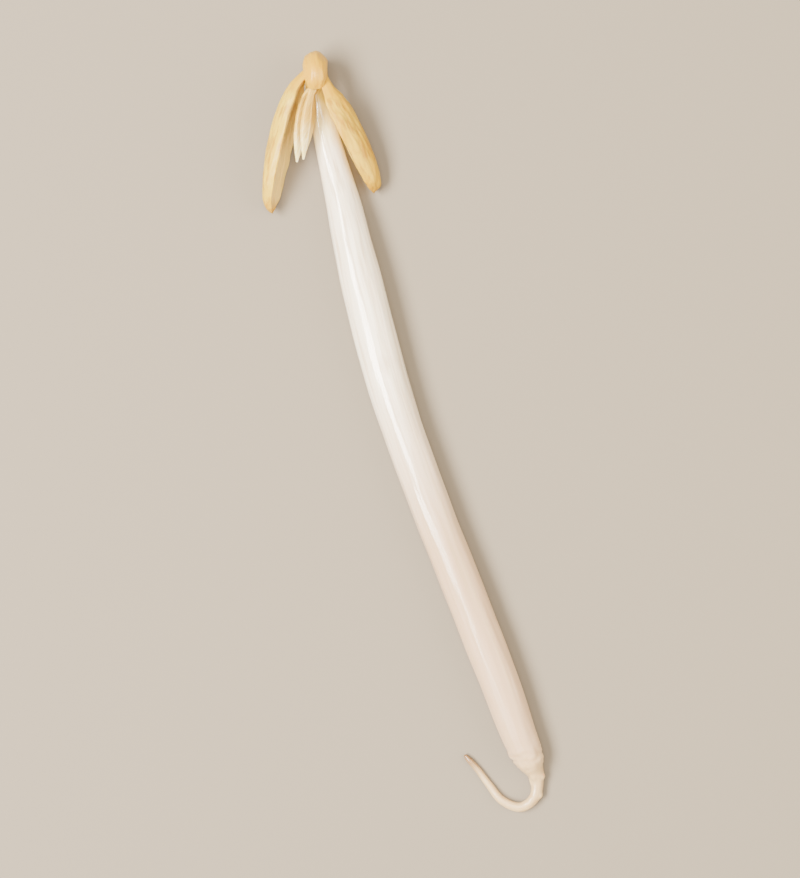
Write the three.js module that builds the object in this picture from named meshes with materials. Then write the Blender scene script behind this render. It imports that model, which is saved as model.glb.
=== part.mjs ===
// A mung bean sprout lying on a table: a thick white stem with its hooked neck and thin root, which
// grew as one piece, the two halves of the bean at its head, and the first pair of leaves between them.
// Millimetres, +Z up. +Y runs along the stem from the root to the head.
// The origin is on the table, under the middle of the sprout's box.
import * as THREE from "three";

// Driving dimensions, in millimetres and degrees.
const STEM_DIAMETER = 3.2; // the fattest stretch, above the middle
const NECK_DIAMETER = 1.7; // just below the head, and round the hook
const ROOT_DIAMETER = 0.95; // where the root leaves the blunt end of the stem
const HOOK_RADIUS = 1.3; // of the middle line of the neck where it turns back over itself
const HOOK_HEADING = 14; // how far the neck leans across as it goes into the hook
const SHOOT_LENGTH = 0.6; // past the hook, where the bean halves and the leaves are joined on
const SHOOT_DIP = 12; // how steeply the shoot points down past the hook
const PRESS = 0.2; // how deep the weight presses a narrow flat into the stem's underside

const BEAN_WIDTH = 3.3; // across its flat face
const BEAN_THICKNESS = 1.4; // from its flat face to its round back
const BEAN_DISH = 0.25; // how far the middle of the flat face lies below its rim
const RIM_LIP = 0.9; // how fast that dish rises to the rim
// How a bean half's outline closes at each end: how long it stays wide, and how round it ends.
const BLUNT_BASE = { fullness: 2.6, roundness: 0.5 };
const DRAWN_TIP = { fullness: 2.2, roundness: 0.74 };
const BACK_FULLNESS = 0.6; // how soon the round back reaches its full thickness: lower is sooner
// Side -1 is left of the neck and 1 is right. Each half starts at a point under the hook, is spread
// away from the stem, dips from its base to its tip, leans outwards on its edge, and has both ends
// bowed towards its flat face.
const LEFT_BEAN = {
  side: -1, length: 10.4, spread: 31, dip: 11, lean: 12, bow: 0.1, start: [-0.5, 29.62],
};
const RIGHT_BEAN = {
  side: 1, length: 8.8, spread: 9, dip: 15, lean: -14, bow: -0.1, start: [0.8, 28.4],
};

// The two leaves lie face to face, between the left bean half and the neck.
const LEAF_LENGTH = 5.0;
const LEAF_WIDTH = 1.25;
const LEAF_THICKNESS = 0.6;
const LEAF_FOLD = 12; // how far each side of the blade is folded down from the midrib
const LEAF_ARCH = 0.15; // how far the tip curls down
const LEAF_STUMP = 0.12; // width of both ends of the blade, as a share of its width
const LEAF_SHOULDER = 0.06; // how far up its curve the outline starts
const LEAF_WAIST = 0.8; // how near the base the widest place is: lower is nearer
const LEAVES_START = [-0.3, 28.3, 3.1];
const LEAVES_SWING = -24; // how far the pair points across
const LEAVES_DIP = 4; // how steeply it slopes down to its tips
const LEAVES_ROLL = 50; // how far it is rolled up on its right edge

const CLEARANCE = 0.3; // between pieces that touch

// The sprout's underside, from the tip of the root to the start of the hook. Each point is across,
// along, and how far the underside is lifted off the table there.
const ROOT_ROUTE = [
  [-3.9, -23.3, 0.1],
  [-3.3, -24.6, 0.0],
  [-2.8, -26.0, 0.0],
  [-2.2, -27.4, 0.05],
  [-1.0, -28.3, 0.15],
  [0.2, -27.9, 0.2],
  [0.8, -26.6, 0.15],
  [0.7, -25.0, 0.05],
];
const STEM_ROUTE = [
  [0.5, -22.7, 0.0],
  [0.3, -18.3, 0.0],
  [0.0, -13.9, 0.0],
  [-0.7, -5.0, 0.0],
  [-1.1, 3.8, 0.05],
  [-0.8, 12.4, 0.12],
  [-0.2, 20.9, 0.1],
  [0.0, 25.2, 0.05],
  [0.3, 28.3, 0.0],
];
const HOOK_START = [0.5, 29.35, 0.0];

// Radius along the sprout: [share of the whole length, radius].
const GIRTH = [
  [0.0, ROOT_DIAMETER * 0.14],
  [0.008, ROOT_DIAMETER * 0.25],
  [0.05, ROOT_DIAMETER * 0.34],
  [0.12, ROOT_DIAMETER * 0.5],
  [0.135, ROOT_DIAMETER * 0.75],
  [0.15, STEM_DIAMETER * 0.36],
  [0.175, STEM_DIAMETER * 0.425],
  [0.24, STEM_DIAMETER * 0.465],
  [0.5, STEM_DIAMETER * 0.485],
  [0.68, STEM_DIAMETER * 0.5],
  [0.76, STEM_DIAMETER * 0.46],
  [0.86, NECK_DIAMETER * 0.6],
  [0.92, NECK_DIAMETER * 0.52],
  [0.965, NECK_DIAMETER * 0.53],
  [0.99, NECK_DIAMETER * 0.5],
  [1.0, NECK_DIAMETER * 0.36],
];

const STEM_RINGS = 120;
const STEM_SIDES = 22;
const ROUTE_STEPS = 2400;
const BEAN_RINGS = 24;
const BEAN_SIDES = 26;
const LEAF_STEPS = 14;
const LEAF_STRIPS = 8;
const RING_CROWDING = 0.1; // how much closer the stem's rings stand at both of its ends
const UP = new THREE.Vector3(0, 0, 1);

const radians = THREE.MathUtils.degToRad;
const vector = ([x, y, z]) => new THREE.Vector3(x, y, z);

function material(colour, roughness) {
  return new THREE.MeshStandardMaterial({ color: colour, roughness, metalness: 0 });
}

const STEM_WHITE = material(0xefe9df, 0.35);
const BEAN_YELLOW = material(0xe8c578, 0.5);
const LEAF_CREAM = material(0xefe3b0, 0.5);

// A level direction that leans across from straight ahead, towards the head, or straight back.
function level(degrees, sense) {
  const angle = radians(degrees);
  return new THREE.Vector3(Math.sin(angle), sense * Math.cos(angle), 0);
}

// Moves every vertex of a geometry to where move() puts it.
function reshape(geometry, move) {
  const position = geometry.getAttribute("position");
  const point = new THREE.Vector3();
  for (let i = 0; i < position.count; i++) {
    point.fromBufferAttribute(position, i);
    move(point);
    position.setXYZ(i, point.x, point.y, point.z);
  }
  geometry.computeVertexNormals();
  geometry.computeBoundingBox();
  return geometry;
}

// Sets a piece down until it sinks a little into the table, and flattens what has sunk.
function settle(geometry) {
  const drop = geometry.boundingBox.min.z + PRESS / 2;
  return reshape(geometry, (p) => {
    p.z = Math.max(0, p.z - drop);
  });
}

// Turns a piece so that its x runs along one direction and its z out along another, then moves it.
function place(geometry, at, along, out) {
  const x = along.clone().normalize();
  const z = out.clone().addScaledVector(x, -out.dot(x)).normalize();
  const y = new THREE.Vector3().crossVectors(z, x);
  return geometry.applyMatrix4(new THREE.Matrix4().makeBasis(x, y, z).setPosition(at));
}

// How fast the radius changes at one of the stated girths.
function slopeAt(station) {
  const [from, before] = GIRTH[Math.max(0, station - 1)];
  const [to, after] = GIRTH[Math.min(GIRTH.length - 1, station + 1)];
  return (after - before) / (to - from);
}

// The radius at a share of the sprout's length: a smooth curve through the stated girths.
function radiusAt(share) {
  const next = Math.max(1, GIRTH.findIndex(([at]) => at >= share));
  const [from, start] = GIRTH[next - 1];
  const [to, end] = GIRTH[next];
  const span = to - from;
  const t = (share - from) / span;
  const eased = t * t * (3 - 2 * t);
  const leaving = span * slopeAt(next - 1) * t * (1 - t) ** 2;
  const arriving = span * slopeAt(next) * t * t * (t - 1);
  return start + (end - start) * eased + leaving + arriving;
}

// How deep a stretch of this radius is pressed: the thick stem carries the weight.
function pressAt(radius) {
  return (PRESS * radius) / (STEM_DIAMETER / 2);
}

// Where each ring comes: they stand closer together round the root's curl and the hook.
function ringShare(even) {
  return even - RING_CROWDING * Math.sin(2 * Math.PI * even);
}

// The neck's turn up and back over itself, and the shoot at its end.
function hookRoute() {
  const ahead = level(HOOK_HEADING, 1);
  const turnTo = (degrees) =>
    vector(HOOK_START)
      .addScaledVector(ahead, HOOK_RADIUS * Math.sin(radians(degrees)))
      .addScaledVector(UP, HOOK_RADIUS * (1 - Math.cos(radians(degrees))));
  const hook = [0, 30, 60, 90, 120, 150, 180].map(turnTo);
  const shoot = hook
    .at(-1)
    .clone()
    .addScaledVector(ahead, -SHOOT_LENGTH * Math.cos(radians(SHOOT_DIP)))
    .addScaledVector(UP, -SHOOT_LENGTH * Math.sin(radians(SHOOT_DIP)));
  return [...hook, shoot];
}

// A turned spindle with the sprout's girths, laid along its route and pressed flat on the table.
function stemAndRoot() {
  const points = [...ROOT_ROUTE.map(vector), ...STEM_ROUTE.map(vector), ...hookRoute()];
  const route = new THREE.CatmullRomCurve3(points, false, "centripetal");
  route.arcLengthDivisions = ROUTE_STEPS;
  const { normals, binormals } = route.computeFrenetFrames(ROUTE_STEPS, false);
  const profile = [new THREE.Vector2(0, 0)];
  const rings = [];
  for (let ring = 0; ring <= STEM_RINGS; ring++) {
    const share = ringShare(ring / STEM_RINGS);
    const step = Math.round(share * ROUTE_STEPS);
    const radius = radiusAt(share);
    profile.push(new THREE.Vector2(radius, ring));
    rings.push({
      centre: route.getPointAt(share).addScaledVector(UP, radius - pressAt(radius)),
      normal: normals[step],
      binormal: binormals[step],
    });
  }
  profile.push(new THREE.Vector2(0, STEM_RINGS));
  return reshape(new THREE.LatheGeometry(profile, STEM_SIDES), (p) => {
    const { centre, normal, binormal } = rings[Math.round(p.y)];
    const { x, z } = p;
    p.copy(centre).addScaledVector(normal, x).addScaledVector(binormal, -z);
    p.z = Math.max(0, p.z);
  });
}

// Half the width of a bean half from its base at -1 to its tip at 1, as a share of its widest.
function beanOutline(along) {
  const { fullness, roundness } = along < 0 ? BLUNT_BASE : DRAWN_TIP;
  return (1 - Math.min(1, Math.abs(along)) ** fullness) ** roundness;
}

// One bean half: x along it from its base at 0 to its tip, y across its flat face and z out of its
// round back. The base is blunt and the tip drawn out, and the flat face is dished inside its rim.
function beanHalf(length, bow) {
  const sphere = new THREE.SphereGeometry(1, BEAN_SIDES, BEAN_RINGS);
  return reshape(sphere, (p) => {
    const along = p.y;
    const girth = Math.max(Number.EPSILON, Math.hypot(p.x, p.z));
    const across = -p.x / girth;
    const out = p.z / girth;
    const width = beanOutline(along);
    const inward = Math.max(0, -out);
    const back = BEAN_THICKNESS * width ** BACK_FULLNESS * Math.max(0, out);
    const face = BEAN_DISH * width * inward * ((1 + RIM_LIP) * inward - RIM_LIP);
    p.set(
      ((along + 1) * length) / 2,
      (BEAN_WIDTH / 2) * width * across,
      back + face - bow * along * along,
    );
  });
}

// A bean half on one side of the neck, let down on the table.
function beside({ side, length, spread, dip, lean, bow, start }) {
  const along = level(side * spread, -1).addScaledVector(UP, -Math.tan(radians(dip)));
  const outward = new THREE.Vector3(side * Math.cos(radians(spread)), Math.sin(radians(spread)), 0);
  outward.multiplyScalar(Math.cos(radians(lean))).addScaledVector(UP, -Math.sin(radians(lean)));
  return settle(place(beanHalf(length, bow), vector([...start, 0]), along, outward));
}

// One leaf, folded along its midrib and arched: x along the midrib from its base at 0, z upwards.
function firstLeaf() {
  const blade = new THREE.BoxGeometry(1, 2, 1, LEAF_STEPS, LEAF_STRIPS, 1);
  const fold = radians(LEAF_FOLD);
  return reshape(blade, (p) => {
    const share = p.x + 0.5;
    const swell = Math.sin(Math.PI * (LEAF_SHOULDER + (1 - LEAF_SHOULDER) * share) ** LEAF_WAIST);
    const outline = LEAF_STUMP + (1 - LEAF_STUMP) * swell;
    const across = p.y * outline * (LEAF_WIDTH / 2);
    p.set(
      share * LEAF_LENGTH,
      across * Math.cos(fold),
      p.z * LEAF_THICKNESS - Math.abs(across) * Math.sin(fold) - LEAF_ARCH * share * share,
    );
  });
}

// A leaf of the pair: side 1 is the upper one, and -1 the one under it.
function paired(side) {
  const along = level(LEAVES_SWING, -1).addScaledVector(UP, -Math.tan(radians(LEAVES_DIP)));
  const roll = radians(LEAVES_ROLL);
  const out = new THREE.Vector3(Math.sin(roll), 0, Math.cos(roll));
  const start = vector(LEAVES_START).addScaledVector(out, (side * (LEAF_THICKNESS + CLEARANCE)) / 2);
  return place(firstLeaf(), start, along, out);
}

const sprout = new THREE.Group();

function add(name, geometry, finish) {
  const piece = new THREE.Mesh(geometry, finish);
  piece.name = name;
  sprout.add(piece);
}

add("stem_and_root", stemAndRoot(), STEM_WHITE);
add("cotyledon_left", beside(LEFT_BEAN), BEAN_YELLOW);
add("cotyledon_right", beside(RIGHT_BEAN), BEAN_YELLOW);
add("first_leaf_upper", paired(1), LEAF_CREAM);
add("first_leaf_lower", paired(-1), LEAF_CREAM);

const box = new THREE.Box3().setFromObject(sprout);
const middle = box.getCenter(new THREE.Vector3());
sprout.position.set(-middle.x, -middle.y, -box.min.z);

export default sprout;
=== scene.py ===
"""A mung bean sprout lying on its side, laid out as a Blender add-on.

The stem, its hooked neck and its root are turned as one straight spindle and then laid along
their route. The two halves of the bean and the first two leaves are modelled flat and set in
place. Routes and starting places are in millimetres, in the frame that they were laid out in.
design_shift() gives the step from there to the part's own frame. Everything else is in metres.
"""
import math
import random

import bmesh
import bpy
from bpy.props import FloatProperty, FloatVectorProperty, IntProperty, PointerProperty
from mathutils import Matrix, Vector

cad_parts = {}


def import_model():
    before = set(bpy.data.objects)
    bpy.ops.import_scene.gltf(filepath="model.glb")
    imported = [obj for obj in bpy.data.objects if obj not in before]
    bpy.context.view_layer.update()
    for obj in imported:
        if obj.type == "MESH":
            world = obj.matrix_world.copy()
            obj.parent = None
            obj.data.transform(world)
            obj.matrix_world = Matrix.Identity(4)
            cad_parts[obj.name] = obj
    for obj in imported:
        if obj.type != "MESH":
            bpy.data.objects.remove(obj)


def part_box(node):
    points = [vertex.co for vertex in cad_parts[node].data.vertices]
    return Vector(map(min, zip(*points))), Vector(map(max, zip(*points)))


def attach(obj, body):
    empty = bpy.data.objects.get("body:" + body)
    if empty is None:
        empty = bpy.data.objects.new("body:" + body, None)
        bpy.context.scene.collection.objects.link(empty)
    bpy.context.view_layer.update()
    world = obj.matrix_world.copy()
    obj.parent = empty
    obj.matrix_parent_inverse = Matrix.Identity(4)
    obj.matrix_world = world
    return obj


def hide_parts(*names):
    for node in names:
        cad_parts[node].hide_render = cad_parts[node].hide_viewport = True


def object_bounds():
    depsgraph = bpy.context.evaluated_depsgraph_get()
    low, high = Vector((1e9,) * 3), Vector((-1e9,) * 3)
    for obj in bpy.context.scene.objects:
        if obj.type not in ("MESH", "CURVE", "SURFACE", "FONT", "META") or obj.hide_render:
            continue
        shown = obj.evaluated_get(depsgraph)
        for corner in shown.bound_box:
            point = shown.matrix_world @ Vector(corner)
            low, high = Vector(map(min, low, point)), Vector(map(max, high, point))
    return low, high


bl_info = {
    "name": "Mung Bean Sprout",
    "version": (1, 0, 0),
    "blender": (4, 5, 0),
    "location": "3D View > Sidebar > Sprout",
    "description": "Models a mung bean sprout on its side and a plain studio round it",
    "category": "Add Mesh",
}

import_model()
CAD_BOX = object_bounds()

MM = 0.001
UP = Vector((0, 0, 1))
# Points count as one ring or column where they differ by less than SAME, as a share of the
# piece's size. NEARLY_SAME is for rows, where the points stray more.
SAME = 1e-4
NEARLY_SAME = 1e-3

# The underside of the sprout, from the tip of the root to the start of the hook: across, along,
# and how far the underside is lifted off the table there.
ROOT_ROUTE = [
    (-3.9, -23.3, 0.1),
    (-3.3, -24.6, 0.0),
    (-2.8, -26.0, 0.0),
    (-2.2, -27.4, 0.05),
    (-1.0, -28.3, 0.15),
    (0.2, -27.9, 0.2),
    (0.8, -26.6, 0.15),
    (0.7, -25.0, 0.05),
]
STEM_ROUTE = [
    (0.5, -22.7, 0.0),
    (0.3, -18.3, 0.0),
    (0.0, -13.9, 0.0),
    (-0.7, -5.0, 0.0),
    (-1.1, 3.8, 0.05),
    (-0.8, 12.4, 0.12),
    (-0.2, 20.9, 0.1),
    (0.0, 25.2, 0.05),
    (0.3, 28.3, 0.0),
]
HOOK_START = (0.5, 29.35, 0.0)
HOOK_TURNS = (0, 30, 60, 90, 120, 150, 180)
HOOK_HEADING = 14  # degrees that the neck leans across as it goes into the hook
SHOOT_DIP = 12  # degrees that the shoot points down past the hook

# Girth along the sprout: share of its length, which diameter, and the radius as a share of it.
GIRTH = [
    (0.0, "root", 0.14),
    (0.008, "root", 0.25),
    (0.05, "root", 0.34),
    (0.12, "root", 0.5),
    (0.135, "root", 0.75),
    (0.15, "stem", 0.36),
    (0.175, "stem", 0.425),
    (0.24, "stem", 0.465),
    (0.5, "stem", 0.485),
    (0.68, "stem", 0.5),
    (0.76, "stem", 0.46),
    (0.86, "neck", 0.6),
    (0.92, "neck", 0.52),
    (0.965, "neck", 0.53),
    (0.99, "neck", 0.5),
    (1.0, "neck", 0.36),
]
ROUTE_STEPS = 60  # along each span between two points of the route
STEM_RINGS = 300
STEM_SIDES = 48
RING_CROWDING = 0.1  # how much closer the rings stand at both ends
# How far each end of the spindle is drawn out to a point, as a share of its radius there.
ROOT_POINT = 0.5
SHOOT_POINT = 0.25
# Where the skin puckers round the root's start and creases round the hook, and how far that
# spreads, as shares of the sprout's length.
COLLAR = (0.155, 0.014)
CREASES = (0.985, 0.04)
# Small side roots that are just starting: the stretch that they stand on, as shares of the
# sprout's length, and their smallest and largest height and reach.
NUB_STRETCH = (0.05, 0.175)
NUB_HEIGHT = (0.06 * MM, 0.13 * MM)
NUB_REACH = (0.28 * MM, 0.42 * MM)
NUB_TIP = 0.1 * MM
NUB_BAND = 0.1 * MM  # how far from its station, along the sprout, a side root may stand
NUB_LOWEST = -0.1  # how far down the skin may face there: -1 is straight down

BEAN_SEGMENTS = 64
BEAN_RINGS = 48
# How a bean half's outline closes at each end: how long it stays wide, and how round it ends.
BLUNT_BASE = (2.6, 0.5)
DRAWN_TIP = (2.3, 0.6)
BACK_FULLNESS = 0.6  # how soon the round back reaches its full thickness: lower is sooner
RIM_LIP = 0.9  # how fast the dish of the flat face rises to its rim
POLE = 0.01  # girth, as a share of half the length, under which a point is at one of the ends
# Side -1 is left of the neck and 1 is right. Each half starts at a point under the hook, is
# spread away from the stem, dips from its base to its tip, leans outwards on its edge, and has
# both ends bowed towards its flat face. The more it has faded, the paler it is. Lengths are in
# millimetres and turns in degrees.
LEFT_BEAN = {
    "side": -1, "length": 10.4, "spread": 31, "dip": 11, "lean": 12, "bow": 0.1,
    "start": (-0.5, 29.62), "fading": 0.6,
}
RIGHT_BEAN = {
    "side": 1, "length": 8.8, "spread": 9, "dip": 15, "lean": -14, "bow": -0.1,
    "start": (0.8, 28.4), "fading": 0.0,
}
STALK_TURN = 125  # degrees round the hook, where the bean halves' stalks are joined on
STALK_GIRTHS = (0.97, 0.95, 0.94, 0.95, 0.97, 1.0)  # each step's girth, as a share of the last
STALK_BLEND = 1.8  # how far the stalk's foot is smoothed, as a share of the stalk's radius
BLEND_ROUNDS = 30

# The two leaves lie face to face, between the left bean half and the neck.
LEAVES_START = (-0.3, 28.3, 3.1)
LEAVES_SWING = -24  # degrees that the pair points across
LEAVES_DIP = 4  # degrees that it slopes down to its tips
LEAVES_ROLL = 50  # degrees that it is rolled up on its right edge
LEAF_ENDS = (0.3, 0.05)  # width of the blade's base and of its tip, as shares of its width
LEAF_THINNEST = 0.3  # thickness where the blade comes to a point, as a share
LEAF_SHOULDER = 0.06  # how far up its curve the outline starts
LEAF_WAIST = 0.8  # how near the base the widest place is: lower is nearer
MIDRIB_WIDTH = 0.12  # as a share of half the blade
LEAF_COLUMNS = 40
LEAF_ROWS = 16
LEAF_FOOT = 0.02  # how much of the blade's base is drawn out to the shoot, as a share
LEAF_STALK_GIRTHS = (1.2, 1.1, 1.0)
LEAF_VEINS = 7  # side veins on each half
VEIN_SLANT = 1.5

# Where the white of the stem stops and the gold of the neck starts, as shares of the length.
WHITE_UNTIL = 0.88
GOLD_FROM = 0.937

# The grain of each uneven surface: how long it is in x, y and z on the straight piece. The stem
# stands along z, and the bean halves and leaves lie along x.
SWELLING_GRAIN = (2.4 * MM, 2.4 * MM, 7 * MM)
FURROW_GRAIN = (0.55 * MM, 0.55 * MM, 9 * MM)
COLLAR_GRAIN = (1.4 * MM, 1.4 * MM, 0.3 * MM)
CREASE_GRAIN = (0.6 * MM, 0.6 * MM, 1.3 * MM)
WRINKLE_GRAIN = (4 * MM, 0.9 * MM, 0.9 * MM)
CRINKLE_GRAIN = (1.6 * MM, 0.35 * MM, 0.35 * MM)
CRINKLE_SHARE = 0.45  # depth of the fine crinkles, as a share of the wrinkles'
LEAF_GRAIN = (1.6 * MM, 1.2 * MM, 1.2 * MM)
# The start of each one's noise, and of the draws for the side roots.
SEEDS = {
    "swelling": 3, "furrows": 7, "stretch": 5, "wrinkles": 5, "crinkles": 9, "leaves": 4,
    "nubs": 12,
}

CAMERA_ROLL = -17.25  # degrees: the sprout's head leans to the left in the picture
CAMERA_NEAREST = 0.01
ROLLED_WIDTH = 0.5  # how much of the sprout's width counts in the rolled picture's height
DAYLIGHT = (1, 0.975, 0.935)
LAMPLIGHT = (1, 0.88, 0.68)
SKYLIGHT = (1, 0.95, 0.87)
# Each soft box: its name, its level side and its upright one, its colour, and its place.
LIGHTS = [
    ("key", (0.3, 0.14), DAYLIGHT, (-0.22, 0.05, 0.33)),
    ("fill", (0.3, 0.3), LAMPLIGHT, (0.28, -0.1, 0.22)),
    ("top", (0.2, 0.2), DAYLIGHT, (0.0, 0.05, 0.45)),
]


def linear(hex_colour):
    """A colour written as six hexadecimal digits, in the linear values that shaders take."""
    shares = [int(hex_colour[i:i + 2], 16) / 255 for i in (0, 2, 4)]
    return [s / 12.92 if s <= 0.04045 else ((s + 0.055) / 1.055) ** 2.4 for s in shares]


def size_of(name, description, millimetres):
    """A length, which starts at so many millimetres."""
    return FloatProperty(
        name=name, description=description, default=millimetres * MM, min=0, unit="LENGTH",
        precision=5,
    )


def tint(name, description, hex_colour):
    """A colour, which starts as six hexadecimal digits."""
    return FloatVectorProperty(
        name=name, description=description, default=linear(hex_colour), size=3, min=0, max=1,
        subtype="COLOR",
    )


def power(name, description, start):
    """A light's power."""
    return FloatProperty(name=name, description=description, default=start, min=0)


class SproutStem(bpy.types.PropertyGroup):
    """Sizes of the stem with its neck and root."""

    stem: size_of("Stem", "Diameter of the fattest stretch, above the middle", 3.2)
    neck: size_of("Neck", "Diameter just below the head and round the hook", 1.7)
    root: size_of("Root", "Diameter where the root leaves the blunt end of the stem", 0.95)
    hook: size_of("Hook", "Radius of the middle line of the neck's turn", 1.3)
    shoot: size_of("Shoot", "Length of the shoot past the hook", 0.6)
    press: size_of("Press", "How deep the weight presses the underside flat", 0.2)
    furrows: size_of("Furrows", "Depth of the fine lengthwise furrows", 0.11)
    swelling: size_of("Swelling", "How uneven the stem's girth is", 0.16)
    puckers: size_of("Puckers", "Depth of the cross wrinkles where the root begins", 0.32)
    creases: size_of("Creases", "Depth of the creases round the hook", 0.26)
    nubs: IntProperty(name="Nubs", description="Small side roots just starting", default=6)


class SproutBean(bpy.types.PropertyGroup):
    """Sizes of the two halves of the bean."""

    width: size_of("Width", "Across the flat face of a half", 3.3)
    thickness: size_of("Thickness", "From the flat face to the round back", 1.4)
    dish: size_of("Dish", "How deep the middle of the flat face lies", 0.25)
    wrinkles: size_of("Wrinkles", "Depth of the lengthwise wrinkles", 0.34)
    stalk: size_of("Stalk", "Diameter of the short stalk at the base", 1.5)


class SproutLeaf(bpy.types.PropertyGroup):
    """Sizes of the first two leaves."""

    length: size_of("Length", "Along the midrib", 5.0)
    width: size_of("Width", "Across the widest place", 1.25)
    thickness: size_of("Thickness", "Thickness of the blade", 0.3)
    spacing: size_of("Spacing", "From the middle of one leaf to the middle of the other", 0.7)
    midrib: size_of("Midrib", "Height of the midrib", 0.05)
    cup: size_of("Cup", "How far the margins curl down", 0.16)
    arch: size_of("Arch", "How far the tip curls down", 0.15)
    waves: size_of("Waves", "How uneven the blade is", 0.14)


class SproutFinish(bpy.types.PropertyGroup):
    """Colours of the sprout and of the floor."""

    stem: tint("Stem", "The glossy white of the stem", "F6E6CC")
    # Partly the lower stem's own translucent tone and partly painted shade: the lower half is
    # coloured darker as if it lay in shadow.
    low_stem_tone_and_shade: tint("Low stem", "The faintly pink cream of the stem's lower half", "CCAA86")
    shade: tint("Shade", "The water-clear streaks of the stem", "C2A478")
    neck: tint("Neck", "The golden yellow of the hook", "CA9800")
    root: tint("Root", "The beige of the root", "CEAE7C")
    root_tip: tint("Root tip", "The dried tip of the root", "7C5A36")
    bruise: tint("Bruise", "Faint bruises on the stem", "AE8650")
    bean: tint("Bean", "The round back of a bean half", "C09200")
    bean_dark: tint("Bean, dark", "Wrinkles and tip of a bean half", "A8740C")
    bean_pale: tint("Bean, pale", "High spots of a bean half", "D6B638")
    bean_face: tint("Bean face", "The flat inner face of a bean half", "DCBE70")
    leaf: tint("Leaf", "The blade of a first leaf", "EED890")
    leaf_vein: tint("Leaf vein", "Veins and midrib of a first leaf", "FAF0D4")
    floor: tint("Floor", "The plain floor", "827664")


class SproutStage(bpy.types.PropertyGroup):
    """The floor, the lights and the camera."""

    floor: size_of("Floor", "Side of the square floor", 1600)
    key: power("Key light", "Power of the main light", 8.0)
    fill: power("Fill light", "Power of the light opposite", 1.8)
    top: power("Top light", "Power of the light overhead", 1.8)
    sky: power("Sky light", "Strength of the even light from all round", 0.7)
    lens: FloatProperty(
        name="Lens", description="Focal length of the camera", default=100, min=1,
        subtype="DISTANCE_CAMERA",
    )
    margin: FloatProperty(
        name="Margin", description="Share of the picture's height left round the sprout",
        default=0.055, min=0, max=0.4, subtype="FACTOR",
    )


# Modelling helpers


def begin(name):
    """Names the primitive that was just added, and gives it."""
    piece = bpy.context.view_layer.objects.active
    piece.name = name
    piece.data.name = name
    return piece


def clear_selection():
    if bpy.context.mode != "OBJECT":
        bpy.ops.object.mode_set(mode="OBJECT")
    bpy.ops.object.select_all(action="DESELECT")


def edit():
    bpy.ops.object.mode_set(mode="EDIT")
    bpy.ops.mesh.select_mode(type="VERT")


def leave_edit():
    bpy.ops.object.mode_set(mode="OBJECT")


def choose(piece, wanted):
    """In edit mode, selects only the points of a piece that wanted(point) holds for."""
    shape = bmesh.from_edit_mesh(piece.data)
    for point in shape.verts:
        point.select_set(bool(wanted(point)))
    shape.select_flush_mode()
    bmesh.update_edit_mesh(piece.data, loop_triangles=False, destructive=False)


def modify(piece, kind, **settings):
    """Adds a modifier with these settings to a piece, and applies it."""
    bpy.ops.object.modifier_add(type=kind)
    modifier = piece.modifiers[-1]
    for name, value in settings.items():
        setattr(modifier, name, value)
    bpy.ops.object.modifier_apply(modifier=modifier.name)


def refine(piece, levels):
    """Makes a piece's faces finer, and rounds them."""
    modify(piece, "SUBSURF", levels=levels, render_levels=levels)


def roughen(piece, grain, depth, seed, detail=2, group=""):
    """Displaces a surface by soft noise. Its grain is so long in x, y and z. With a group, each
    point moves by its weight in it."""
    texture = bpy.data.textures.new("grain", type="CLOUDS")
    texture.noise_scale = 1.0
    texture.noise_depth = detail
    guide = bpy.data.objects.new("guide", None)
    bpy.context.scene.collection.objects.link(guide)
    guide.location = [seed * g for g in grain]
    guide.scale = grain
    bpy.context.view_layer.update()
    modify(
        piece, "DISPLACE", texture=texture, texture_coords="OBJECT",
        texture_coords_object=guide, strength=depth, mid_level=0.5, vertex_group=group,
    )
    bpy.data.objects.remove(guide)
    bpy.data.textures.remove(texture)


def record(piece, name, kind, values):
    """Keeps a number or a vector for each point of a piece, for its finish to follow."""
    layer = piece.data.attributes.new(name, kind, "POINT")
    if kind == "FLOAT_VECTOR":
        layer.data.foreach_set("vector", [n for value in values for n in value])
    else:
        layer.data.foreach_set("value", values)


def place(piece, at, along, out):
    """Moves a piece, turned so that its x runs along one way and its z out another."""
    x = along.normalized()
    z = (out - x * out.dot(x)).normalized()
    y = z.cross(x)
    turn = Matrix((x, y, z)).transposed().to_4x4()
    piece.matrix_world = Matrix.Translation(at) @ turn
    bpy.ops.object.transform_apply(location=True, rotation=True, scale=True)


def move(piece, step):
    """Moves all the points of a piece by one step, and leaves its origin where it is."""
    piece.location = step
    bpy.ops.object.transform_apply(location=True)


def press_flat(piece):
    """Flattens on the table whatever has sunk into it."""
    edit()
    choose(piece, lambda point: point.co.z < 0)
    bpy.ops.transform.resize(value=(1, 1, 0), center_override=(0, 0, 0))
    leave_edit()


def level(degrees, sense):
    """A level way that leans across from straight ahead (sense 1) or straight back (-1)."""
    angle = math.radians(degrees)
    return Vector((math.sin(angle), sense * math.cos(angle), 0))


def finish_piece(piece, material, node):
    """Gives a piece its material and its place in the frame."""
    piece.data.materials.clear()
    piece.data.materials.append(material)
    bpy.ops.object.shade_smooth()
    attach(piece, "root")
    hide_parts(node)
    clear_selection()


# The sprout's line and girth


def glide(start, end, leaving, arriving, t):
    """Goes from start to end as t goes from 0 to 1, with these slopes at the two ends."""
    eased = start + (end - start) * (t * t * (3 - 2 * t))
    return eased + leaving * (t * (1 - t) ** 2) + arriving * (t * t * (t - 1))


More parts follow.
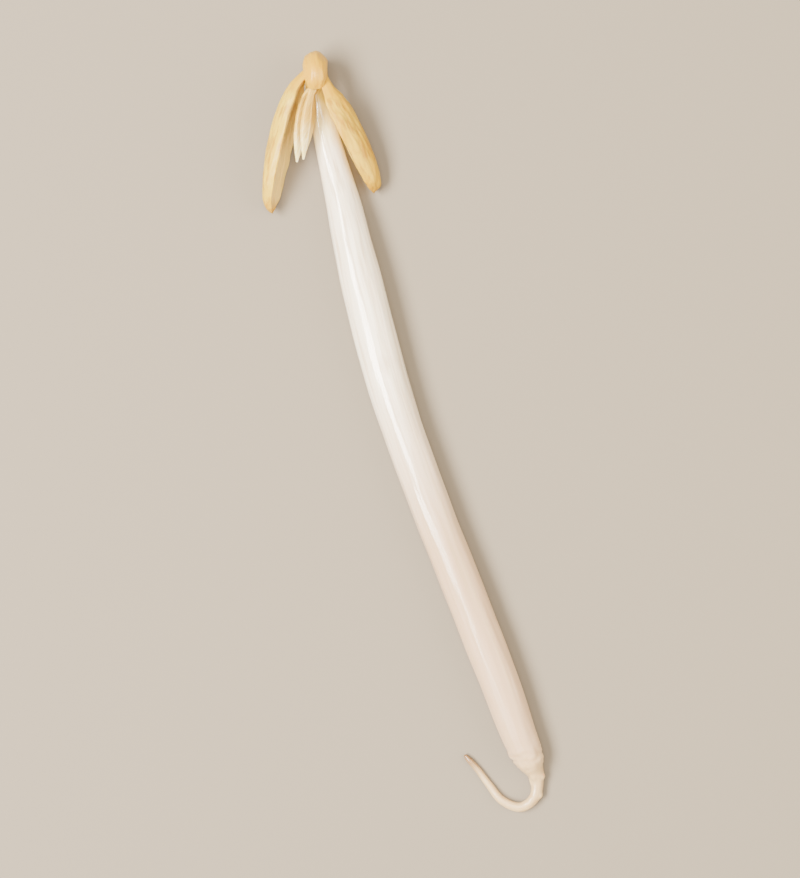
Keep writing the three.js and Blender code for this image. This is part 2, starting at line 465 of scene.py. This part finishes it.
def smooth_route(points):
    """A curve through points, which makes no loop between any two of them."""
    first = points[0] * 2 - points[1]
    last = points[-1] * 2 - points[-2]
    ends = [first, *points, last]
    line = []
    for a, b, c, d in zip(ends, ends[1:], ends[2:], ends[3:]):
        before, here, after = (math.sqrt((q - p).length) for p, q in ((a, b), (b, c), (c, d)))
        leaving = ((b - a) / before - (c - a) / (before + here) + (c - b) / here) * here
        arriving = ((c - b) / here - (d - b) / (here + after) + (d - c) / after) * here
        for step in range(ROUTE_STEPS):
            line.append(glide(b, c, leaving, arriving, step / ROUTE_STEPS))
    return [*line, points[-1]]


def round_hook(sizes, degrees):
    """A point on the underside of the neck's turn, so many degrees round it."""
    turn = math.radians(degrees)
    reach = level(HOOK_HEADING, 1) * math.sin(turn) + UP * (1 - math.cos(turn))
    return Vector(HOOK_START) * MM + sizes.hook * reach


def hook_route(sizes):
    """The neck's turn up and back over itself, and the shoot at its end."""
    ahead = level(HOOK_HEADING, 1)
    hook = [round_hook(sizes, turn) for turn in HOOK_TURNS]
    dip = math.radians(SHOOT_DIP)
    shoot = hook[-1] - sizes.shoot * (ahead * math.cos(dip) + UP * math.sin(dip))
    return [*hook, shoot]


def girths(sizes):
    """Each stated share of the length, with the radius there."""
    return [(share, getattr(sizes, which) * part) for share, which, part in GIRTH]


def girth_at(share, stations):
    """The radius at a share of the length: a smooth curve through the stated girths."""
    last = len(stations) - 1
    after = max(1, next(i for i, (at, _) in enumerate(stations) if at >= share))

    def slope(i):
        (low, before), (high, behind) = stations[max(0, i - 1)], stations[min(last, i + 1)]
        return (behind - before) / (high - low)

    (low, start), (high, end) = stations[after - 1], stations[after]
    span = high - low
    return glide(start, end, span * slope(after - 1), span * slope(after), (share - low) / span)


def centre_line(sizes):
    """Each ring of the sprout: its share of the length, its centre and its radius."""
    underside = [Vector(point) * MM for point in (*ROOT_ROUTE, *STEM_ROUTE)]
    line = smooth_route([*underside, *hook_route(sizes)])
    reach = [0.0]
    for near, far in zip(line, line[1:]):
        reach.append(reach[-1] + (far - near).length)
    stations = girths(sizes)
    rings = []
    at = 0
    for ring in range(STEM_RINGS + 1):
        even = ring / STEM_RINGS
        share = even - RING_CROWDING * math.sin(2 * math.pi * even)
        distance = min(1.0, max(0.0, share)) * reach[-1]
        while at < len(line) - 2 and reach[at + 1] < distance:
            at += 1
        part = (distance - reach[at]) / (reach[at + 1] - reach[at])
        radius = girth_at(min(1.0, max(0.0, share)), stations)
        lift = radius * (1 - sizes.press / (sizes.stem / 2))
        rings.append((share, line[at].lerp(line[at + 1], part) + UP * lift, radius))
    return rings


def design_shift(sizes):
    """The step from the frame of the routes to the part's own frame."""
    rings = centre_line(sizes)
    low, high = Vector((1, 1, 0)), Vector((-1, -1, 0))
    for (_, before, _), (_, centre, radius), (_, after, _) in zip(rings, rings[1:], rings[2:]):
        way = (after - before).normalized()
        for axis in (0, 1):
            reach = radius * math.sqrt(1 - way[axis] ** 2)
            low[axis] = min(low[axis], centre[axis] - reach)
            high[axis] = max(high[axis], centre[axis] + reach)
    cad_low, cad_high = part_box("stem_and_root")
    shift = (cad_low + cad_high - low - high) / 2
    shift.z = 0
    return shift


def neck_lift(sizes):
    """How far the middle of the neck lies above its underside."""
    return UP * sizes.neck / 2 * (1 - sizes.press / (sizes.stem / 2))


# Stem and root


def turn_spindle(stations):
    """Extrudes a ring up through stations of height and radius, and closes both ends."""
    (height, radius), *others = stations
    bpy.ops.mesh.primitive_circle_add(
        vertices=STEM_SIDES, radius=radius, location=(0, 0, height)
    )
    piece = begin("sprout_stem")
    edit()
    low, before = height, radius
    for high, after in others:
        bpy.ops.mesh.extrude_region_move(TRANSFORM_OT_translate={"value": (0, 0, high - low)})
        factor = after / before
        bpy.ops.transform.resize(value=(factor, factor, 1), center_override=(0, 0, high))
        low, before = high, after
    for end, outwards in ((low, before * SHOOT_POINT), (height, -radius * ROOT_POINT)):
        choose(piece, lambda point: abs(point.co.z - end) < MM * SAME)
        bpy.ops.mesh.extrude_region_move(TRANSFORM_OT_translate={"value": (0, 0, outwards)})
        bpy.ops.mesh.merge(type="CENTER")
    bpy.ops.mesh.select_all(action="SELECT")
    bpy.ops.mesh.normals_make_consistent(inside=False)
    leave_edit()
    return piece


def lay_along(piece, centres):
    """Bends a straight piece, which stands on the origin, along a line of centres."""
    line = bpy.data.curves.new("route", "CURVE")
    line.dimensions = "3D"
    line.twist_mode = "MINIMUM"
    spline = line.splines.new("POLY")
    spline.points.add(len(centres) - 1)
    for point, centre in zip(spline.points, centres):
        point.co = (*centre, 1)
    route = bpy.data.objects.new("route", line)
    bpy.context.scene.collection.objects.link(route)
    modify(piece, "CURVE", object=route, deform_axis="POS_Z")
    bpy.data.objects.remove(route)


def column_of(spot):
    """Which lengthwise column of the refined, straight spindle a spot is in."""
    columns = 2 * STEM_SIDES
    return round(math.atan2(spot.y, spot.x) / (2 * math.pi) * columns) % columns


def grow_nubs(piece, count, reach):
    """Pulls up small side roots that are just starting, low on the stem and along the root.
    Places are drawn from a sorted ring, because points don't always come in the same order."""
    draw = random.Random(SEEDS["nubs"])
    low, high = NUB_STRETCH
    edit()
    for _ in range(count):
        shape = bmesh.from_edit_mesh(piece.data)
        straight = shape.verts.layers.float_vector["straight"]
        station = draw.uniform(low, high) * reach
        ring = [point for point in shape.verts if abs(point[straight].z - station) < NUB_BAND]
        ring.sort(key=lambda point: (column_of(point[straight]), point[straight].z))
        draw.shuffle(ring)
        heart = next(point for point in ring if point.normal.z > NUB_LOWEST)
        centre, way = heart.co.copy(), heart.normal.copy()
        choose(piece, lambda point: (point.co - centre).length < NUB_TIP)
        bpy.ops.transform.translate(
            value=way * draw.uniform(*NUB_HEIGHT), use_proportional_edit=True,
            use_proportional_connected=True, proportional_edit_falloff="SMOOTH",
            proportional_size=draw.uniform(*NUB_REACH),
        )
    leave_edit()


def wrinkle_stretch(piece, reach, stretch, grain, depth):
    """Wrinkles the skin round one stretch of the straight piece, less and less away from it."""
    group = piece.vertex_groups.new(name="stretch")
    middle, spread = stretch
    for point in piece.data.vertices:
        weight = math.exp(-((point.co.z / reach - middle) / spread) ** 2)
        group.add([point.index], weight, "REPLACE")
    roughen(piece, grain, depth, SEEDS["stretch"], group=group.name)
    piece.vertex_groups.clear()


class SPROUT_OT_stem(bpy.types.Operator):
    """Model the stem, its hooked neck and its root as one piece"""

    bl_idname = "sprout.stem"
    bl_label = "Stem and Root"

    def execute(self, context):
        sizes = context.scene.sprout_stem
        clear_selection()
        rings = centre_line(sizes)
        stations = [(0.0, rings[0][2])]
        for (_, near, _), (_, far, radius) in zip(rings, rings[1:]):
            stations.append((stations[-1][0] + (far - near).length, radius))
        piece = turn_spindle(stations)
        refine(piece, 1)
        points = piece.data.vertices
        record(piece, "straight", "FLOAT_VECTOR", [point.co[:] for point in points])
        roughen(piece, SWELLING_GRAIN, sizes.swelling, SEEDS["swelling"], detail=1)
        roughen(piece, FURROW_GRAIN, sizes.furrows, SEEDS["furrows"])
        reach = stations[-1][0]
        wrinkle_stretch(piece, reach, COLLAR, COLLAR_GRAIN, sizes.puckers)
        wrinkle_stretch(piece, reach, CREASES, CREASE_GRAIN, sizes.creases)
        lay_along(piece, [centre for _, centre, _ in rings])
        press_flat(piece)
        grow_nubs(piece, sizes.nubs, reach)
        move(piece, design_shift(sizes))
        material = skin_finish(context.scene.sprout_finish, reach)
        finish_piece(piece, material, "stem_and_root")
        return {"FINISHED"}


# Bean halves


def bean_width(along):
    """Half the width of a bean half, as a share, from its base at -1 to its tip at 1."""
    fullness, roundness = BLUNT_BASE if along < 0 else DRAWN_TIP
    return (1 - min(1.0, abs(along)) ** fullness) ** roundness


def model_bean_half(name, length, bow, sizes):
    """One bean half: x from its base at 0 to its tip, z out of its round back."""
    half = length / 2
    bpy.ops.mesh.primitive_uv_sphere_add(
        segments=BEAN_SEGMENTS, ring_count=BEAN_RINGS, radius=half,
        rotation=(0, math.pi / 2, 0),
    )
    piece = begin(name)
    bpy.ops.object.transform_apply(rotation=True)
    inward = []
    for point in piece.data.vertices:
        girth = math.hypot(point.co.y, point.co.z)
        inward.append(max(0.0, -point.co.z / girth) if girth > half * POLE else 0.0)
    record(piece, "inner", "FLOAT", inward)
    edit()
    inner = bmesh.from_edit_mesh(piece.data).verts.layers.float["inner"]
    for step in range(1, BEAN_SEGMENTS // 4 + 1):
        share = math.sin(2 * math.pi * step / BEAN_SEGMENTS)
        choose(piece, lambda point: abs(point[inner] - share) < NEARLY_SAME)
        dish = -sizes.dish / sizes.thickness * ((1 + RIM_LIP) * share - RIM_LIP)
        bpy.ops.transform.resize(value=(1, 1, dish), center_override=(0, 0, 0))
    for ring in range(1, BEAN_RINGS):
        turn = math.pi * ring / BEAN_RINGS
        along = -math.cos(turn)
        girth = half * math.sin(turn)
        width = bean_width(along)
        at = along * half
        choose(piece, lambda point: abs(point.co.x - at) < half * SAME)
        across = sizes.width / 2 * width / girth
        outwards = sizes.thickness * width ** BACK_FULLNESS / girth
        bpy.ops.transform.resize(value=(1, across, outwards), center_override=(at, 0, 0))
        bpy.ops.transform.translate(value=(0, 0, -bow * along * along))
    choose(piece, lambda point: abs(point.co.x) > half * (1 - SAME))
    bpy.ops.transform.translate(value=(0, 0, -bow))
    bpy.ops.mesh.select_all(action="SELECT")
    bpy.ops.transform.translate(value=(half, 0, 0))
    leave_edit()
    return piece


def grow_on(piece, base, target, near, factors):
    """Extrudes the points that near(point) holds for, round a piece's base, into a stalk to a
    target. The factors are the girth of each step, as a share of the last one's."""
    edit()
    choose(piece, near)
    centre = base.copy()
    for step, factor in enumerate(factors, 1):
        share = step / len(factors)
        spot = base.lerp(target, share)
        bpy.ops.mesh.extrude_region_move(TRANSFORM_OT_translate={"value": spot - centre})
        bpy.ops.transform.resize(value=(factor,) * 3, center_override=spot)
        centre = spot
    leave_edit()


def blend_in(piece, centre, reach):
    """Smooths a piece as far round a centre as this."""
    edit()
    choose(piece, lambda point: (point.co - centre).length < reach)
    bpy.ops.mesh.vertices_smooth(factor=0.5, repeat=BLEND_ROUNDS)
    leave_edit()


def bean_half(context, name, node, side, length, spread, dip, lean, bow, start, fading):
    """Models a bean half on one side of the neck, on its edge on the table."""
    sizes = context.scene.sprout_bean
    stem = context.scene.sprout_stem
    clear_selection()
    piece = model_bean_half(name, length * MM, bow * MM, sizes)
    roughen(piece, WRINKLE_GRAIN, sizes.wrinkles, SEEDS["wrinkles"] + side)
    refine(piece, 1)
    record(piece, "straight", "FLOAT_VECTOR", [point.co[:] for point in piece.data.vertices])
    crinkles = sizes.wrinkles * CRINKLE_SHARE
    roughen(piece, CRINKLE_GRAIN, crinkles, SEEDS["crinkles"] + side)
    along = level(side * spread, -1) - UP * math.tan(math.radians(dip))
    turn, tip_over = math.radians(spread), math.radians(lean)
    outward = Vector((side * math.cos(turn), math.sin(turn), 0)) * math.cos(tip_over)
    place(piece, Vector((*start, 0)) * MM, along, outward - UP * math.sin(tip_over))
    drop = min(point.co.z for point in piece.data.vertices) + stem.press / 2
    shift = design_shift(stem)
    move(piece, shift - UP * drop)
    press_flat(piece)
    joint = round_hook(stem, STALK_TURN) + neck_lift(stem) + shift
    points = (point.co for point in piece.data.vertices)
    base = min(points, key=lambda spot: spot.dot(along)).copy()
    reach = sizes.stalk / 2
    grow_on(piece, base, joint, lambda point: (point.co - base).length < reach, STALK_GIRTHS)
    blend_in(piece, base, reach * STALK_BLEND)
    material = bean_finish(context.scene.sprout_finish, length * MM, fading)
    finish_piece(piece, material, node)


class SPROUT_OT_bean(bpy.types.Operator):
    """Model the two halves of the bean, one on each side of the neck"""

    bl_idname = "sprout.bean"
    bl_label = "Bean Halves"

    def execute(self, context):
        bean_half(context, "bean_half_left", "cotyledon_left", **LEFT_BEAN)
        bean_half(context, "bean_half_right", "cotyledon_right", **RIGHT_BEAN)
        return {"FINISHED"}


# First leaves


def leaf_outline(share):
    """Half the width of a leaf, as a share, from its base at 0 to its tip at 1."""
    swell = math.sin(math.pi * (LEAF_SHOULDER + (1 - LEAF_SHOULDER) * share) ** LEAF_WAIST)
    base, tip = LEAF_ENDS
    stump = base + (tip - base) * share
    return stump + (1 - stump) * swell


def model_leaf(name, sizes):
    """A leaf folded along its midrib: x along it from its base at 0, z upwards."""
    bpy.ops.mesh.primitive_grid_add(
        x_subdivisions=LEAF_COLUMNS, y_subdivisions=LEAF_ROWS, size=1, location=(0, 0, 0)
    )
    piece = begin(name)
    edit()
    bpy.ops.mesh.select_all(action="SELECT")
    bpy.ops.transform.translate(value=(0.5, 0, 0))
    bpy.ops.transform.resize(value=(sizes.length, sizes.width, 1), center_override=(0, 0, 0))
    leave_edit()
    modify(piece, "SOLIDIFY", thickness=sizes.thickness, offset=0)
    half = sizes.width / 2
    spots = [(p.co.x / sizes.length, p.co.y / half, 0) for p in piece.data.vertices]
    record(piece, "blade", "FLOAT_VECTOR", spots)
    edit()
    for row in range(LEAF_ROWS + 1):
        across = 2 * row / LEAF_ROWS - 1
        choose(piece, lambda point: abs(point.co.y - across * half) < half * NEARLY_SAME)
        ridge = sizes.midrib * math.exp(-(across / MIDRIB_WIDTH) ** 2)
        bpy.ops.transform.translate(value=(0, 0, ridge - sizes.cup * across * across))
    for column in range(LEAF_COLUMNS + 1):
        share = column / LEAF_COLUMNS
        at = share * sizes.length
        choose(piece, lambda point: abs(point.co.x - at) < sizes.length * SAME)
        outline = leaf_outline(share)
        thinned = LEAF_THINNEST + (1 - LEAF_THINNEST) * outline
        bpy.ops.transform.resize(value=(1, outline, thinned), center_override=(at, 0, 0))
        bpy.ops.transform.translate(value=(0, 0, -sizes.arch * share * share))
    leave_edit()
    return piece


def first_leaf(context, name, node, side):
    """Models a leaf of the pair: side 1 is the upper one, and -1 the one under it."""
    sizes = context.scene.sprout_leaf
    stem = context.scene.sprout_stem
    clear_selection()
    piece = model_leaf(name, sizes)
    roughen(piece, LEAF_GRAIN, sizes.waves, SEEDS["leaves"] + side)
    refine(piece, 2)
    along = level(LEAVES_SWING, -1) - UP * math.tan(math.radians(LEAVES_DIP))
    roll = math.radians(LEAVES_ROLL)
    out = Vector((math.sin(roll), 0, math.cos(roll)))
    shift = design_shift(stem)
    start = Vector(LEAVES_START) * MM + shift + out * side * sizes.spacing / 2
    place(piece, start, along, out)
    foot = sizes.length * LEAF_FOOT
    joint = hook_route(stem)[-1] + neck_lift(stem) + shift
    grow_on(
        piece, start, joint, lambda point: (point.co - start).dot(along) < foot,
        LEAF_STALK_GIRTHS,
    )
    finish_piece(piece, leaf_finish(context.scene.sprout_finish), node)


class SPROUT_OT_leaves(bpy.types.Operator):
    """Model the first two leaves, face to face between the left bean half and the neck"""

    bl_idname = "sprout.leaves"
    bl_label = "First Leaves"

    def execute(self, context):
        first_leaf(context, "leaf_upper", "first_leaf_upper", 1)
        first_leaf(context, "leaf_lower", "first_leaf_lower", -1)
        return {"FINISHED"}


# Finishes


class Value:
    """A socket of a finish. Arithmetic on it adds Math nodes."""

    def __init__(self, finish, socket):
        self.finish = finish
        self.socket = socket

    def math(self, operation, *others):
        inputs = dict(enumerate((self, *others)))
        return self.finish.node("ShaderNodeMath", {"operation": operation}, inputs)

    def __add__(self, other):
        return self.math("ADD", other)

    def __mul__(self, other):
        return self.math("MULTIPLY", other)

    def __sub__(self, other):
        return self.math("SUBTRACT", other)

    def __rsub__(self, other):
        return self * -1 + other

    def __truediv__(self, other):
        return self.math("DIVIDE", other)

    def __abs__(self):
        return self.math("ABSOLUTE")

    def __mod__(self, other):
        return self.math("FLOORED_MODULO", other)

    def ease(self, low, high, start=0.0, end=1.0):
        """Goes smoothly from start to end as the value goes from low to high."""
        settings = {"interpolation_type": "SMOOTHSTEP"}
        inputs = {0: self, 1: low, 2: high, 3: start, 4: end}
        return self.finish.node("ShaderNodeMapRange", settings, inputs)


class Finish:
    """A material, made one node at a time."""

    def __init__(self, name):
        self.material = bpy.data.materials.new(name)
        self.material.use_nodes = True
        self.tree = self.material.node_tree
        self.tree.nodes.clear()

    def node(self, kind, settings=None, inputs=None, output=0):
        """Adds a node, sets it up, feeds its sockets, and gives one of its outputs."""
        made = self.tree.nodes.new(kind)
        for name, value in (settings or {}).items():
            if name == "stops":
                self.set_stops(made.color_ramp, value)
            else:
                setattr(made, name, value)
        for name, value in (inputs or {}).items():
            self.feed(made.inputs[name], value)
        return Value(self, made.outputs[output]) if made.outputs else None

    def feed(self, socket, value):
        """Links a socket to a value, or sets it to a number, a vector or a colour."""
        if isinstance(value, Value):
            self.tree.links.new(value.socket, socket)
        elif hasattr(socket.default_value, "__len__"):
            wanted = len(socket.default_value)
            socket.default_value = [*value, 1.0][:wanted]
        else:
            socket.default_value = value

    @staticmethod
    def set_stops(ramp, stops):
        """Sets a ramp's colours. A new ramp has two stops, which become its first and last one,
        so those two come first in the list."""
        for index, (position, colour) in enumerate(stops):
            stop = ramp.elements[index] if index < 2 else ramp.elements.new(position)
            stop.position = position
            stop.color = (*colour[:3], 1)

    def attribute(self, name, output="Vector"):
        return self.node("ShaderNodeAttribute", {"attribute_name": name}, output=output)

    def part(self, vector, axis):
        """One of a vector's three numbers."""
        return self.node("ShaderNodeSeparateXYZ", None, {0: vector}, output=axis)

    def noise(self, vector, scale, detail, stretch=(1, 1, 1)):
        """Soft noise round 0.5. Its grains are 1 / scale long, and longer where the stretch is
        low."""
        settings = {"operation": "MULTIPLY"}
        stretched = self.node("ShaderNodeVectorMath", settings, {0: vector, 1: stretch})
        inputs = {"Vector": stretched, "Scale": scale, "Detail": detail}
        return self.node("ShaderNodeTexNoise", None, inputs, output="Fac")

    def mix(self, factor, low, high):
        """A colour that goes from low to high as the factor goes from 0 to 1."""
        settings = {"data_type": "RGBA", "clamp_factor": True}
        return self.node("ShaderNodeMix", settings, {0: factor, 6: low, 7: high}, output=2)

    def ramp(self, factor, stops):
        return self.node("ShaderNodeValToRGB", {"stops": stops}, {0: factor})

    def shade(self, **sockets):
        """Ends the material in a Principled shader with these sockets."""
        inputs = {name.replace("_", " ").title(): value for name, value in sockets.items()}
        inputs = {name.replace("Ior", "IOR"): value for name, value in inputs.items()}
        shader = self.node("ShaderNodeBsdfPrincipled", None, inputs)
        self.node("ShaderNodeOutputMaterial", None, {0: shader})
        return self.material

    def bump(self, height, distance, strength):
        """Fine relief, this high."""
        inputs = {"Height": height, "Distance": distance, "Strength": strength}
        return self.node("ShaderNodeBump", None, inputs)


def skin_finish(tints, reach):
    """The stem's glossy skin: white, golden round the hook and beige along the root."""
    finish = Finish("sprout_skin")
    straight = finish.attribute("straight")
    share = finish.part(straight, "Z") / reach
    blotch = finish.noise(straight, 420, 3, (1, 1, 0.4))
    wander = share + (blotch - 0.5) * 0.03
    along = finish.ramp(wander, [
        (0.0, tints.root_tip),
        (1.0, tints.neck),
        (0.035, tints.root),
        (0.135, tints.root),
        # The lower half is darker: partly its own tone, partly painted shade.
        (0.165, tints.low_stem_tone_and_shade),
        (0.4, tints.low_stem_tone_and_shade),
        (0.6, tints.stem),
        (0.85, tints.stem),
        (0.885, tints.leaf),
        (0.912, tints.bean_pale),
        (GOLD_FROM, tints.neck),
    ])
    streaks = finish.noise(straight, 3000, 3, (1, 1, 0.03))
    threads = finish.noise(straight, 7000, 2, (1, 1, 0.02))
    white = share.ease(GOLD_FROM, WHITE_UNTIL)
    sheen = share.ease(0.36, 0.58) * white
    clear = (streaks.ease(0.5, 0.68) * 0.45 + threads.ease(0.55, 0.7) * 0.25) * white
    bruised = finish.noise(straight, 300, 4, (1, 1, 0.45)).ease(0.6, 0.72) * 0.35 * white
    colour = finish.mix(clear, along, tints.shade)
    colour = finish.mix(bruised, colour, tints.bruise)
    cells = finish.noise(straight, 9000, 2, (1, 1, 0.2))
    height = streaks * 0.6 + threads * 0.25 + cells * 0.15
    return finish.shade(
        base_color=colour,
        roughness=blotch.ease(0.3, 0.7, 0.32, 0.48) - sheen * 0.12,
        normal=finish.bump(height, 0.03 * MM, 0.7),
        subsurface_weight=0.5,
        subsurface_radius=(1.0, 0.88, 0.7),
        subsurface_scale=0.6 * MM,
        coat_weight=sheen * 0.6 + 0.2,
        coat_roughness=0.08,
    )


def bean_finish(tints, length, fading):
    """The bean's waxy flesh: golden and wrinkled outside, cream on the flat face."""
    finish = Finish("bean_flesh")
    straight = finish.attribute("straight")
    share = finish.part(straight, "X") / length
    inner = finish.attribute("inner", "Fac").ease(0.1, 0.4)
    blotch = finish.noise(straight, 620, 3, (0.4, 1, 1))
    grain = finish.noise(straight, 2600, 3, (0.25, 1, 1))
    faded = blotch.ease(0.42, 0.68, fading, 1 - (1 - fading) / 2)
    colour = finish.mix(faded, tints.bean, tints.bean_pale)
    spots = finish.noise(straight, 1100, 4, (0.5, 1, 1)).ease(0.58, 0.74)
    colour = finish.mix(grain.ease(0.48, 0.68) * 0.7, colour, tints.bean_dark)
    colour = finish.mix(spots * 0.6, colour, tints.bean_dark)
    colour = finish.mix(inner * 0.8, colour, tints.bean_face)
    colour = finish.mix(share.ease(0.86, 1.0) * 0.7, colour, tints.bean_dark)
    colour = finish.mix(share.ease(0.14, 0.0) * 0.8, colour, tints.neck)
    speckle = finish.noise(straight, 7500, 2)
    return finish.shade(
        base_color=colour,
        roughness=blotch.ease(0.3, 0.7, 0.38, 0.55),
        normal=finish.bump(grain * 0.7 + speckle * 0.3, 0.05 * MM, 0.7),
        subsurface_weight=0.15,
        subsurface_radius=(1.0, 0.6, 0.2),
        subsurface_scale=0.3 * MM,
        specular_ior_level=0.25,
        coat_weight=0.12,
        coat_roughness=0.3,
    )


def leaf_finish(tints):
    """A young leaf's tissue, with faintly paler veins."""
    finish = Finish("leaf_tissue")
    blade = finish.attribute("blade")
    share = finish.part(blade, "X")
    across = abs(finish.part(blade, "Y"))
    side = (share * LEAF_VEINS - across * VEIN_SLANT) % 1
    veins = 1 - abs(side - 0.5).ease(0.03, 0.2)
    midrib = 1 - across.ease(0.05, 0.2)
    position = finish.node("ShaderNodeTexCoord", output="Object")
    blotch = finish.noise(position, 1500, 3)
    colour = finish.mix(blotch.ease(0.35, 0.7) * 0.5, tints.leaf, tints.bean_pale)
    colour = finish.mix(veins * 0.35, colour, tints.leaf_vein)
    colour = finish.mix(midrib * 0.5, colour, tints.leaf_vein)
    # Darker gold towards the base: partly the young leaf's own tone, partly painted shade where
    # the leaves lie between the left bean half and the neck.
    colour = finish.mix(share.ease(0.85, 0.3) * 0.85, colour, tints.bean)
    fine = finish.noise(position, 6000, 2)
    return finish.shade(
        base_color=colour,
        roughness=blotch.ease(0.3, 0.7, 0.38, 0.52),
        normal=finish.bump(veins * 0.6 + fine * 0.4, 0.03 * MM, 0.6),
        subsurface_weight=0.4,
        subsurface_radius=(1.0, 0.8, 0.4),
        subsurface_scale=0.4 * MM,
    )


def floor_finish(tints):
    """A plain matt floor with the faintest grain."""
    finish = Finish("floor_paper")
    position = finish.node("ShaderNodeTexCoord", output="Object")
    grain = finish.noise(position, 900, 4)
    colour = finish.mix(grain * 0.1, tints.floor, [c * 0.9 for c in tints.floor])
    return finish.shade(base_color=colour, roughness=0.8)


# Stage


def add_light(name, sides, colour, at, watts, target):
    """A soft box that looks at the sprout."""
    lamp = bpy.data.lights.new(name, "AREA")
    lamp.shape = "RECTANGLE"
    lamp.color = colour
    lamp.size, lamp.size_y = sides
    lamp.energy = watts
    light = bpy.data.objects.new(name, lamp)
    light.location = at
    light.rotation_euler = (target - Vector(at)).to_track_quat("-Z", "Y").to_euler()
    bpy.context.scene.collection.objects.link(light)


def add_camera(sizes, low, high):
    """A camera that looks straight down, turned so that the head leans to the left."""
    lens = bpy.data.cameras.new("camera")
    lens.lens = sizes.lens
    lens.clip_start = CAMERA_NEAREST
    camera = bpy.data.objects.new("camera", lens)
    bpy.context.scene.collection.objects.link(camera)
    roll = math.radians(CAMERA_ROLL)
    camera.rotation_euler = (0, 0, roll)
    extent = high - low
    tall = extent.y * math.cos(roll) + abs(extent.x * math.sin(roll)) * ROLLED_WIDTH
    seen = tall / (1 - 2 * sizes.margin)
    distance = seen / 2 * lens.lens / (lens.sensor_width / 2)
    centre = (low + high) / 2
    camera.location = (centre.x, centre.y, high.z + distance)
    bpy.context.scene.camera = camera


class SPROUT_OT_stage(bpy.types.Operator):
    """Set up a plain floor, soft lights and the camera"""

    bl_idname = "sprout.stage"
    bl_label = "Floor, Lights and Camera"

    def execute(self, context):
        sizes = context.scene.sprout_stage
        clear_selection()
        low, high = CAD_BOX
        bpy.ops.mesh.primitive_plane_add(size=sizes.floor, location=(0, 0, 0))
        floor = begin("floor")
        floor.data.materials.append(floor_finish(context.scene.sprout_finish))
        for name, *box in LIGHTS:
            add_light(f"{name}_light", *box, getattr(sizes, name), (low + high) / 2)
        world = bpy.data.worlds.new("studio")
        world.use_nodes = True
        sky = world.node_tree.nodes["Background"].inputs
        sky["Color"].default_value = (*SKYLIGHT, 1)
        sky["Strength"].default_value = sizes.sky
        context.scene.world = world
        add_camera(sizes, low, high)
        clear_selection()
        return {"FINISHED"}


class SPROUT_PT_panel(bpy.types.Panel):
    """Lists the sprout's pieces"""

    bl_label = "Mung Bean Sprout"
    bl_idname = "SPROUT_PT_panel"
    bl_space_type = "VIEW_3D"
    bl_region_type = "UI"
    bl_category = "Sprout"

    def draw(self, context):
        for group, operator in PIECES:
            settings = getattr(context.scene, group)
            box = self.layout.box()
            for name in settings.__annotations__:
                box.prop(settings, name)
            box.operator(operator)
        for name in context.scene.sprout_finish.__annotations__:
            self.layout.prop(context.scene.sprout_finish, name)


PIECES = [
    ("sprout_stem", "sprout.stem"),
    ("sprout_bean", "sprout.bean"),
    ("sprout_leaf", "sprout.leaves"),
    ("sprout_stage", "sprout.stage"),
]
SETTINGS = {
    "sprout_stem": SproutStem,
    "sprout_bean": SproutBean,
    "sprout_leaf": SproutLeaf,
    "sprout_finish": SproutFinish,
    "sprout_stage": SproutStage,
}
CLASSES = [
    *SETTINGS.values(), SPROUT_OT_stem, SPROUT_OT_bean, SPROUT_OT_leaves, SPROUT_OT_stage,
    SPROUT_PT_panel,
]


def register():
    for kind in CLASSES:
        bpy.utils.register_class(kind)
    for name, kind in SETTINGS.items():
        setattr(bpy.types.Scene, name, PointerProperty(type=kind))


def unregister():
    for name in SETTINGS:
        delattr(bpy.types.Scene, name)
    for kind in reversed(CLASSES):
        bpy.utils.unregister_class(kind)


def main():
    register()
    bpy.ops.sprout.stem()
    bpy.ops.sprout.bean()
    bpy.ops.sprout.leaves()
    bpy.ops.sprout.stage()


if __name__ == "__main__":
    main()
